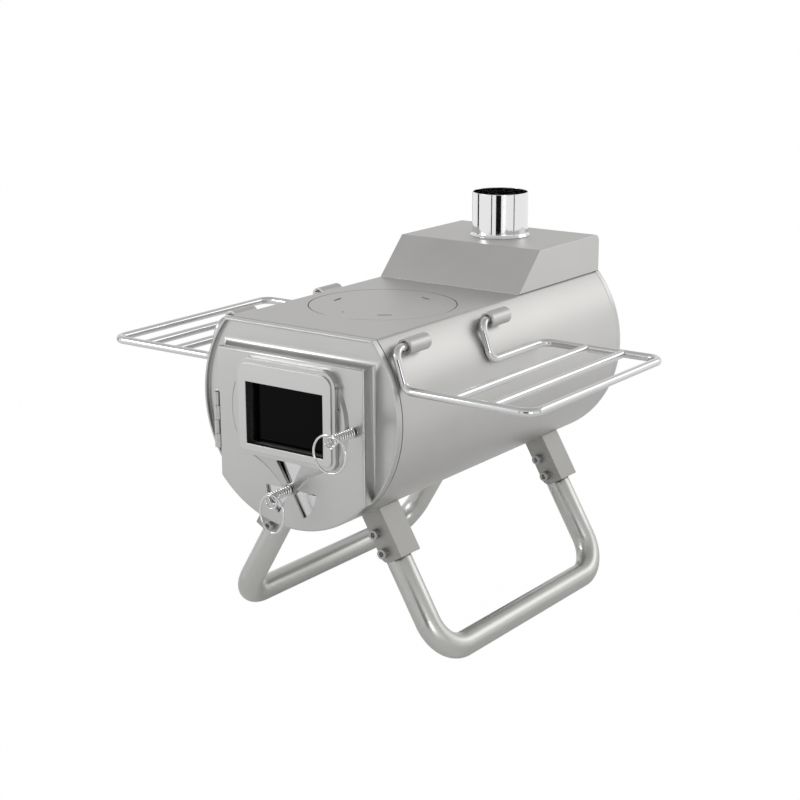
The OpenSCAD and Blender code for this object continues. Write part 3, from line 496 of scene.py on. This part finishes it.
class STOVE_OT_smoke_box(bpy.types.Operator):
    """Folded smoke box"""

    bl_idname = "stove.smoke_box"
    bl_label = "Smoke Box"

    def execute(self, context):
        dress("smoke_box", sizes().fold, 4)
        return {"FINISHED"}


class STOVE_OT_flue_collar(bpy.types.Operator):
    """Polished collar"""

    bl_idname = "stove.flue_collar"
    bl_label = "Flue Collar"

    def execute(self, context):
        dress("flue_collar", sizes().collar_rim, 3)
        return {"FINISHED"}


class STOVE_OT_lid(bpy.types.Operator):
    """Cooking lid, its skirt and its seat"""

    bl_idname = "stove.lid"
    bl_label = "Cooking Lid"

    def execute(self, context):
        dress("cooking_lid", sizes().sheet_edge, 3)
        repaint("lid_skirt")
        repaint("lid_seat")
        return {"FINISHED"}


class STOVE_OT_housing(bpy.types.Operator):
    """Door housing"""

    bl_idname = "stove.housing"
    bl_label = "Door Housing"

    def plate_curve(self):
        """The hollow curve in which the front plate is drawn out to the housing, closed behind."""
        radius = sizes().plate_fillet
        plate_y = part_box("door_housing")[1].y
        wall_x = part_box("door_housing")[1].x
        # How deep the curve's edges reach into the plate and the wall
        sunk = 0.3 * MM
        # The curve fades out between these heights, and what is left at its end is this high
        fade_from, fade_to = AXIS_Z + 10 * MM, AXIS_Z - 62 * MM
        end = MM
        bm = door_outline(radius, plate_y)
        face = bm.faces[0]
        stepped_inset(bm, face, hollow_steps(radius, 8) + [(sunk, 0), (sunk, -radius - sunk)])
        bmesh.ops.delete(bm, geom=[face], context="FACES")
        bmesh.ops.bridge_loops(bm, edges=[e for e in bm.edges if e.is_boundary])
        for v in bm.verts:
            share = min(1.0, max(0.0, (v.co.z - fade_to) / (fade_from - fade_to)))
            side = math.copysign(wall_x, v.co.x)
            if v.co.z < fade_from:
                v.co.x = side + (v.co.x - side) * share
                v.co.y = plate_y + (v.co.y - plate_y) * share
        everything = bm.verts[:] + bm.edges[:] + bm.faces[:]
        bmesh.ops.bisect_plane(bm, geom=everything, plane_co=(0, 0, fade_to + end), plane_no=(0, 0, -1),
                               clear_outer=True)
        bmesh.ops.holes_fill(bm, edges=[e for e in bm.edges if e.is_boundary])
        bmesh.ops.recalc_face_normals(bm, faces=bm.faces)
        piece(bm, "front_plate_curve", "stove", "brushed_steel")

    def upper_corner(self, edge):
        """Whether an edge runs along Y at one of the upper outer corners."""
        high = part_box("door_housing")[1]
        return all(v.co.z > high.z - ON_SIDE and abs(v.co.x) > high.x - ON_SIDE for v in edge.verts)

    def execute(self, context):
        for node in ("door_housing", "housing_flange"):
            bm = merged(node)
            rounded(bm, sizes().housing_corner, 5, self.upper_corner)
            rounded(bm, sizes().housing_edge, 2)
            piece(bm, node + "_finished", NODE_BODY[node], slot_of(node), [node])
        self.plate_curve()
        return {"FINISHED"}


class STOVE_OT_door(bpy.types.Operator):
    """Door plate and its hinge"""

    bl_idname = "stove.door"
    bl_label = "Door and Hinge"

    def outer_front(self, edge):
        """Whether an edge lies on the outline of the plate's front, away from its openings."""
        low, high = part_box("door_panel")
        side, top = high.x - NEAR_SIDE, high.z - NEAR_SIDE
        round_r = AXIS_Z - low.z - NEAR_SIDE
        return all(v.co.y < low.y + NEAR_SIDE
                   and (abs(v.co.x) > side or v.co.z > top or math.hypot(v.co.x, v.co.z - AXIS_Z) > round_r)
                   for v in edge.verts)

    def execute(self, context):
        dress("door_panel", sizes().door_roll, 6, self.outer_front)
        for node in ("hinge_knuckles_fixed", "hinge_knuckles_door", "hinge_pin"):
            dress(node, sizes().sheet_edge, 2)
        return {"FINISHED"}


class STOVE_OT_hood(bpy.types.Operator):
    """Air hood behind the window frame"""

    bl_idname = "stove.hood"
    bl_label = "Air Hood"

    def execute(self, context):
        dress("air_hood", sizes().sheet_edge, 2)
        return {"FINISHED"}


class STOVE_OT_window(bpy.types.Operator):
    """Window frame, glass, seal, clips and screws"""

    bl_idname = "stove.window"
    bl_label = "Window"

    def execute(self, context):
        dress("window_frame", sizes().sheet_edge, 3)
        for node in ("window_channel", "glass_clips", "frame_screws", "window_glass"):
            dress(node, sizes().window_edge, 2)
        repaint("window_gasket")
        return {"FINISHED"}


class STOVE_OT_damper(bpy.types.Operator):
    """Damper rotor, spindle and nut"""

    bl_idname = "stove.damper"
    bl_label = "Air Damper"

    def execute(self, context):
        for node in ("damper_rotor", "damper_spindle", "damper_nut"):
            dress(node, sizes().spindle_edge, 2)
        return {"FINISHED"}


class STOVE_OT_latch(bpy.types.Operator):
    """Latch spindle and tongue"""

    bl_idname = "stove.latch"
    bl_label = "Latch"

    def execute(self, context):
        for node in ("latch_spindle", "latch_tongue"):
            dress(node, sizes().spindle_edge, 2)
        return {"FINISHED"}


class STOVE_OT_spring_handles(bpy.types.Operator):
    """The two wound spring handles, each one wire that widens into a ring"""

    bl_idname = "stove.spring_handles"
    bl_label = "Spring Handles"

    def ring_share(self, past):
        """Share of the ring's size and place that the wire has, past turns into the ring."""
        ramp = max(0.0, min(1.0, past / sizes().loop_ramp))
        return ramp * ramp * (3 - 2 * ramp)

    def spread_at(self, turn, close, last):
        """Share of the way from the coil's size to the ring's, last being the share of the last turn."""
        s = sizes()
        past = turn - close - s.spread_turns
        if turn <= close:
            return 0.0
        if past <= 0:
            return last * ((turn - close) / s.spread_turns) ** s.spread_power
        return last + (1 - last) * self.ring_share(past)

    def wire_points(self, node, close, last_h, ring_w, ring_h, out, up):
        """Points along the wire: its root, the close coil, the turns that widen, then the ring."""
        s = sizes()
        axis = joint_place(NODE_BODY[node])
        wire = s.wire / 2
        half_w, half_h = ring_w / 2 - wire, ring_h / 2 - wire
        last = (last_h / 2 - wire - s.coil) / (half_h - s.coil)
        turns = close + s.spread_turns
        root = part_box(node)[1].y
        first = root - s.wire
        top = axis.z + s.coil
        points = [(axis.x, root, top), (axis.x, root - wire, top)]
        coil_steps, ring_steps = 20, 80
        steps = [i / coil_steps for i in range(coil_steps * turns)]
        steps += [turns + i / ring_steps for i in range(ring_steps + 1)]
        for t in steps:
            share = self.spread_at(t, close, last)
            past = max(0.0, t - turns)
            off = self.ring_share(past)
            rx = s.coil + (half_w - s.coil) * share
            rz = s.coil + (half_h - s.coil) * share
            angle = math.tau * t
            points.append((axis.x + out * off + rx * math.sin(angle),
                           first - s.pitch * min(t, turns) - s.loop_rise * past,
                           top + up * off - rz + rz * math.cos(angle)))
        return points

    def execute(self, context):
        s = sizes()
        handles = (
            ("latch_handle", s.door_turns, s.door_last_h, s.door_ring_w, s.door_ring_h,
             s.door_ring_out, s.door_ring_up),
            ("damper_handle", s.damper_turns, s.damper_last_h, s.damper_ring_w, s.damper_ring_h,
             s.damper_ring_out, s.damper_ring_up))
        for node, *form in handles:
            bm = wire_mesh(node, self.wire_points(node, *form), s.wire / 2)
            piece(bm, node + "_wire", NODE_BODY[node], slot_of(node), [node])
        return {"FINISHED"}


class STOVE_OT_brackets(bpy.types.Operator):
    """Leg brackets with their bolts and nuts"""

    bl_idname = "stove.brackets"
    bl_label = "Leg Brackets"

    def execute(self, context):
        for end in ("front", "rear"):
            for side in ("right", "left"):
                dress(f"bracket_{end}_{side}", sizes().sheet_edge, 3)
        dress("leg_bolts", sizes().sheet_edge, 3)
        dress("leg_nuts", sizes().sheet_edge, 2)
        return {"FINISHED"}


class STOVE_OT_legs(bpy.types.Operator):
    """The two bent tube legs"""

    bl_idname = "stove.legs"
    bl_label = "Legs"

    def execute(self, context):
        for node in ("leg_right", "leg_left"):
            dress(node, 0)
        return {"FINISHED"}


class STOVE_OT_racks(bpy.types.Operator):
    """Side racks and their sleeves"""

    bl_idname = "stove.racks"
    bl_label = "Side Racks"

    def sleeve(self, node):
        """A sleeve with a soft rear end and a thin rounded mouth."""
        mouth, rear = (corner.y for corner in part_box(node))
        bm = merged(node)
        rounded(bm, sizes().sleeve_end, 4, lambda edge: self.outer_end(edge, node, rear))
        rounded(bm, sizes().sheet_edge, 2, lambda edge: self.outer_end(edge, node, mouth))
        piece(bm, node + "_finished", NODE_BODY[node], slot_of(node), [node])

    def outer_end(self, edge, node, y):
        """Whether an edge lies in the end at y and on the sleeve's outside, away from its bore."""
        axis = joint_place("rack_" + node.split("_")[2])
        return all(abs(v.co.y - y) < ON_SIDE and math.hypot(v.co.x - axis.x, v.co.z - axis.z) > SLEEVE_MID_R
                   for v in edge.verts)

    def execute(self, context):
        for side in ("right", "left"):
            dress(f"rack_{side}_frame", sizes().sheet_edge, 2)
            dress(f"rack_{side}_rails", 0)
            for end in ("front", "rear"):
                self.sleeve(f"sleeve_{end}_{side}")
        return {"FINISHED"}


class STOVE_OT_grate(bpy.types.Operator):
    """Fire grate inside the barrel"""

    bl_idname = "stove.grate"
    bl_label = "Fire Grate"

    def execute(self, context):
        dress("fire_grate", sizes().sheet_edge, 2)
        return {"FINISHED"}


# Camera as solved for the photograph: where it aims, from where, and its focal length and centre in pixels
AIM = Vector((12.3, -30.5, 229.77)) * MM
CAMERA_AZIMUTH = math.radians(35.742)
CAMERA_ELEVATION = math.radians(15.025)
CAMERA_ROLL = math.radians(-0.173)
CAMERA_DISTANCE = 1713.6 * MM
PHOTO_WIDTH = 800
FOCAL_PIXELS = 1706.5
CENTRE_PIXELS = (401.4, 397.7)
SENSOR = 36.0

# Half the floor's width, in metres
FLOOR_HALF = 30.0
# How much of the floor is plain white for the camera; the rest shows light and shadow
FLOOR_SHARE_SEEN = 0.99
# The same share in reflections, which grows from near the stove to far from it, with the distances in metres
FLOOR_NEAR, FLOOR_FAR = 0.5, 1.6
FLOOR_SHARE_NEAR, FLOOR_SHARE_FAR = 0.12, 0.9
# Strength of the world's white at the horizon and overhead
WORLD_LOW, WORLD_HIGH = 0.95, 0.45
CARD_BLACK = (0.01, 0.01, 0.01, 1.0)


class STOVE_OT_stage(bpy.types.Operator):
    """Camera, pale floor, soft lamps and world"""

    bl_idname = "stove.stage"
    bl_label = "Studio"

    def camera(self, context):
        ahead = Vector((-math.sin(CAMERA_AZIMUTH) * math.cos(CAMERA_ELEVATION),
                        math.cos(CAMERA_AZIMUTH) * math.cos(CAMERA_ELEVATION), -math.sin(CAMERA_ELEVATION)))
        side = Vector((math.cos(CAMERA_AZIMUTH), math.sin(CAMERA_AZIMUTH), 0.0))
        up = side.cross(ahead)
        turn = Matrix((side, up, -ahead)).transposed() @ Matrix.Rotation(CAMERA_ROLL, 3, "Z")
        data = bpy.data.cameras.new("photo_camera")
        data.sensor_width = SENSOR
        data.lens = FOCAL_PIXELS * SENSOR / PHOTO_WIDTH
        data.shift_x = (PHOTO_WIDTH / 2 - CENTRE_PIXELS[0]) / PHOTO_WIDTH
        data.shift_y = (CENTRE_PIXELS[1] - PHOTO_WIDTH / 2) / PHOTO_WIDTH
        made = bpy.data.objects.new("photo_camera", data)
        made.matrix_world = Matrix.Translation(AIM - ahead * CAMERA_DISTANCE) @ turn.to_4x4()
        context.scene.collection.objects.link(made)
        context.scene.camera = made

    def floor(self, context):
        bm = bmesh.new()
        bmesh.ops.create_grid(bm, x_segments=1, y_segments=1, size=FLOOR_HALF)
        mesh = bpy.data.meshes.new("studio_floor")
        bm.to_mesh(mesh)
        bm.free()
        made = bpy.data.objects.new("studio_floor", mesh)
        context.scene.collection.objects.link(made)
        material, tree, shader = start("matt_white_floor")
        shader.inputs["Base Color"].default_value = colours().floor
        shader.inputs["Roughness"].default_value = 0.9
        shader.inputs["Specular IOR Level"].default_value = 0.1
        path = add(tree, "LightPath")
        away = add(tree, "VectorMath", {"operation": "LENGTH"},
                   links={0: add(tree, "TexCoord").outputs["Object"]}).outputs["Value"]
        mirrored = add(tree, "MapRange", values={"From Min": FLOOR_NEAR, "From Max": FLOOR_FAR,
                                                 "To Min": FLOOR_SHARE_NEAR, "To Max": FLOOR_SHARE_FAR},
                       links={"Value": away}).outputs["Result"]
        glossy = add(tree, "Math", {"operation": "MULTIPLY"},
                     links={0: mirrored, 1: path.outputs["Is Glossy Ray"]})
        straight = add(tree, "Math", {"operation": "MAXIMUM"}, links={0: path.outputs["Is Camera Ray"],
                                                                    1: path.outputs["Is Transmission Ray"]})
        seen = add(tree, "Math", {"operation": "MULTIPLY"}, {1: FLOOR_SHARE_SEEN}, {0: straight.outputs[0]})
        share = add(tree, "Math", {"operation": "MAXIMUM"}, links={0: glossy.outputs[0], 1: seen.outputs[0]})
        white = add(tree, "Emission", values={"Color": (1, 1, 1, 1), "Strength": 1.0})
        mixed = add(tree, "MixShader", links={0: share.outputs[0], 1: shader.outputs["BSDF"],
                                              2: white.outputs["Emission"]})
        output = next(n for n in tree.nodes if n.type == "OUTPUT_MATERIAL")
        tree.links.new(mixed.outputs[0], output.inputs["Surface"])
        made.data.materials.append(material)

    def softbox(self, context, name, place, wide, high, power):
        """A rectangular lamp that faces the stove, in metres and watts."""
        data = bpy.data.lights.new(name, "AREA")
        data.shape = "RECTANGLE"
        data.size = wide
        data.size_y = high
        data.energy = power
        made = bpy.data.objects.new(name, data)
        made.location = place
        made.rotation_mode = "QUATERNION"
        made.rotation_quaternion = (AIM - Vector(place)).to_track_quat("-Z", "Y")
        context.scene.collection.objects.link(made)

    def dark_card(self, context, name, degrees, distance, wide, low, high):
        """A black card that stands upright and shows only in reflections, degrees counted from -Y to +X."""
        azimuth = math.radians(degrees)
        bm = bmesh.new()
        bmesh.ops.create_grid(bm, x_segments=1, y_segments=1, size=0.5)
        bmesh.ops.scale(bm, vec=(wide, high - low, 1.0), verts=bm.verts)
        bmesh.ops.rotate(bm, cent=(0, 0, 0), matrix=Matrix.Rotation(math.radians(90), 3, "X"), verts=bm.verts)
        bmesh.ops.rotate(bm, cent=(0, 0, 0), matrix=Matrix.Rotation(azimuth, 3, "Z"), verts=bm.verts)
        place = (math.sin(azimuth) * distance, -math.cos(azimuth) * distance, (low + high) / 2)
        bmesh.ops.translate(bm, vec=place, verts=bm.verts)
        mesh = bpy.data.meshes.new(name)
        bm.to_mesh(mesh)
        bm.free()
        made = bpy.data.objects.new(name, mesh)
        context.scene.collection.objects.link(made)
        material, tree, shader = start(name)
        shader.inputs["Base Color"].default_value = CARD_BLACK
        shader.inputs["Roughness"].default_value = 1.0
        shader.inputs["Specular IOR Level"].default_value = 0.0
        made.data.materials.append(material)
        made.visible_camera = False
        made.visible_diffuse = False
        made.visible_shadow = False

    def world(self, context):
        made = bpy.data.worlds.new("studio")
        context.scene.world = made
        made.use_nodes = True
        tree = made.node_tree
        tree.nodes.clear()
        ray = add(tree, "TexCoord").outputs["Generated"]
        height = add(tree, "SeparateXYZ", links={"Vector": ray}).outputs["Z"]
        ramp = add(tree, "MapRange", values={"From Min": 0.0, "From Max": 1.0,
                                             "To Min": WORLD_LOW, "To Max": WORLD_HIGH},
                   links={"Value": height})
        back = add(tree, "Background", values={"Color": (1, 1, 1, 1)},
                   links={"Strength": ramp.outputs["Result"]})
        add(tree, "OutputWorld", links={"Surface": back.outputs["Background"]})

    def execute(self, context):
        self.camera(context)
        self.floor(context)
        self.world(context)
        self.softbox(context, "rear_right_softbox", place=(1.5, 1.9, 1.35), wide=1.7, high=1.1, power=6)
        self.softbox(context, "front_left_softbox", place=(-1.6, -1.8, 1.1), wide=0.9, high=0.6, power=12)
        self.softbox(context, "low_right_softbox", place=(1.6, -1.2, 0.4), wide=0.5, high=0.5, power=3)
        self.dark_card(context, "camera_side_card", degrees=29, distance=1.3, wide=0.55, low=0.0, high=0.6)
        self.dark_card(context, "front_card", degrees=-3, distance=1.2, wide=0.1, low=0.0, high=0.5)
        self.dark_card(context, "left_card", degrees=-76, distance=1.2, wide=0.2, low=0.0, high=0.6)
        self.dark_card(context, "right_card", degrees=99, distance=1.2, wide=0.08, low=0.0, high=0.6)
        self.dark_card(context, "rear_left_card", degrees=216, distance=1.0, wide=0.25, low=0.0, high=0.35)
        context.scene.view_settings.view_transform = "Standard"
        return {"FINISHED"}


PIECE_OPERATORS = (STOVE_OT_barrel, STOVE_OT_smoke_box, STOVE_OT_flue_collar, STOVE_OT_lid, STOVE_OT_housing,
                   STOVE_OT_door, STOVE_OT_hood, STOVE_OT_window, STOVE_OT_damper, STOVE_OT_latch,
                   STOVE_OT_spring_handles, STOVE_OT_brackets, STOVE_OT_legs, STOVE_OT_racks, STOVE_OT_grate,
                   STOVE_OT_stage)


class STOVE_PT_finish(bpy.types.Panel):
    """The stove's pieces, each with the operator that makes it"""

    bl_label = "Stove"
    bl_idname = "STOVE_PT_finish"
    bl_space_type = "VIEW_3D"
    bl_region_type = "UI"
    bl_category = "Stove"

    def draw(self, context):
        for made in PIECE_OPERATORS:
            self.layout.operator(made.bl_idname)


CLASSES = (StoveSizes, StoveColours, *PIECE_OPERATORS, STOVE_PT_finish)


def register():
    for made in CLASSES:
        bpy.utils.register_class(made)
    bpy.types.Scene.stove_sizes = bpy.props.PointerProperty(type=StoveSizes)
    bpy.types.Scene.stove_colours = bpy.props.PointerProperty(type=StoveColours)


def unregister():
    del bpy.types.Scene.stove_colours
    del bpy.types.Scene.stove_sizes
    for made in reversed(CLASSES):
        bpy.utils.unregister_class(made)


def main():
    register()
    for made in PIECE_OPERATORS:
        group, name = made.bl_idname.split(".")
        getattr(getattr(bpy.ops, group), name)()


if __name__ == "__main__":
    main()
